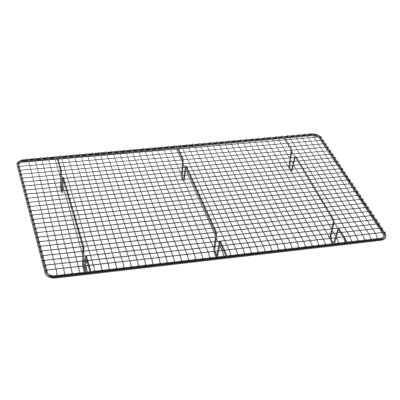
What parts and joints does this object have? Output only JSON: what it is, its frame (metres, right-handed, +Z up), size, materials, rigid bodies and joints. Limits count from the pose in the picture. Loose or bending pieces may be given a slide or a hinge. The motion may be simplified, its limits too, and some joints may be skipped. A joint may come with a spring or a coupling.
{
  "type": "cooling rack",
  "caption": "Rectangular wire cooling rack: a welded grid of thin wires on a round-wire rim, standing on legs bent from wire rails under the grid.",
  "frame": {"origin": "on the floor under the middle of the rack", "axes": "+X along the long side, +Y to the back, +Z up"},
  "size_m": [0.4635, 0.2656, 0.0375],
  "materials": {
    "rim_coating": "black semi-gloss non-stick coating on steel wire, lightly orange-peeled",
    "grid_coating": "black semi-gloss non-stick coating on thin steel wire",
    "leg_coating": "black semi-gloss non-stick coating on bent steel wire"
  },
  "bodies": {
    "root": {"rim_frame": "rim_coating", "long_wire_01": "grid_coating", "long_wire_02": "grid_coating", "long_wire_03": "grid_coating", "long_wire_04": "grid_coating", "long_wire_05": "grid_coating", "long_wire_06": "grid_coating", "long_wire_07": "grid_coating", "long_wire_08": "grid_coating", "long_wire_09": "grid_coating", "long_wire_10": "grid_coating", "long_wire_11": "grid_coating", "long_wire_12": "grid_coating", "long_wire_13": "grid_coating", "long_wire_14": "grid_coating", "long_wire_15": "grid_coating", "long_wire_16": "grid_coating", "long_wire_17": "grid_coating", "long_wire_18": "grid_coating", "long_wire_19": "grid_coating", "long_wire_20": "grid_coating", "long_wire_21": "grid_coating", "long_wire_22": "grid_coating", "long_wire_23": "grid_coating", "long_wire_24": "grid_coating", "long_wire_25": "grid_coating", "long_wire_26": "grid_coating", "short_wires_01_02": "grid_coating", "short_wires_03_04": "grid_coating", "short_wires_05_06": "grid_coating", "short_wires_07_08": "grid_coating", "short_wires_09_10": "grid_coating", "short_wires_11_12": "grid_coating", "short_wires_13_14": "grid_coating", "short_wires_15_16": "grid_coating", "short_wires_17_18": "grid_coating", "short_wires_19_20": "grid_coating", "short_wires_21_22": "grid_coating", "short_wires_23_24": "grid_coating", "short_wires_25_26": "grid_coating", "short_wires_27_28": "grid_coating", "short_wires_29_30": "grid_coating", "short_wires_31_32": "grid_coating", "short_wires_33_34": "grid_coating", "short_wires_35_36": "grid_coating", "short_wires_37_38": "grid_coating", "short_wires_39_40": "grid_coating", "short_wires_41_42": "grid_coating", "short_wires_43_44": "grid_coating", "short_wires_45_46": "grid_coating", "short_wires_47_47": "grid_coating", "leg_rail_left": "leg_coating", "leg_rail_middle": "leg_coating", "leg_rail_right": "leg_coating"}
  },
  "joints": []
}
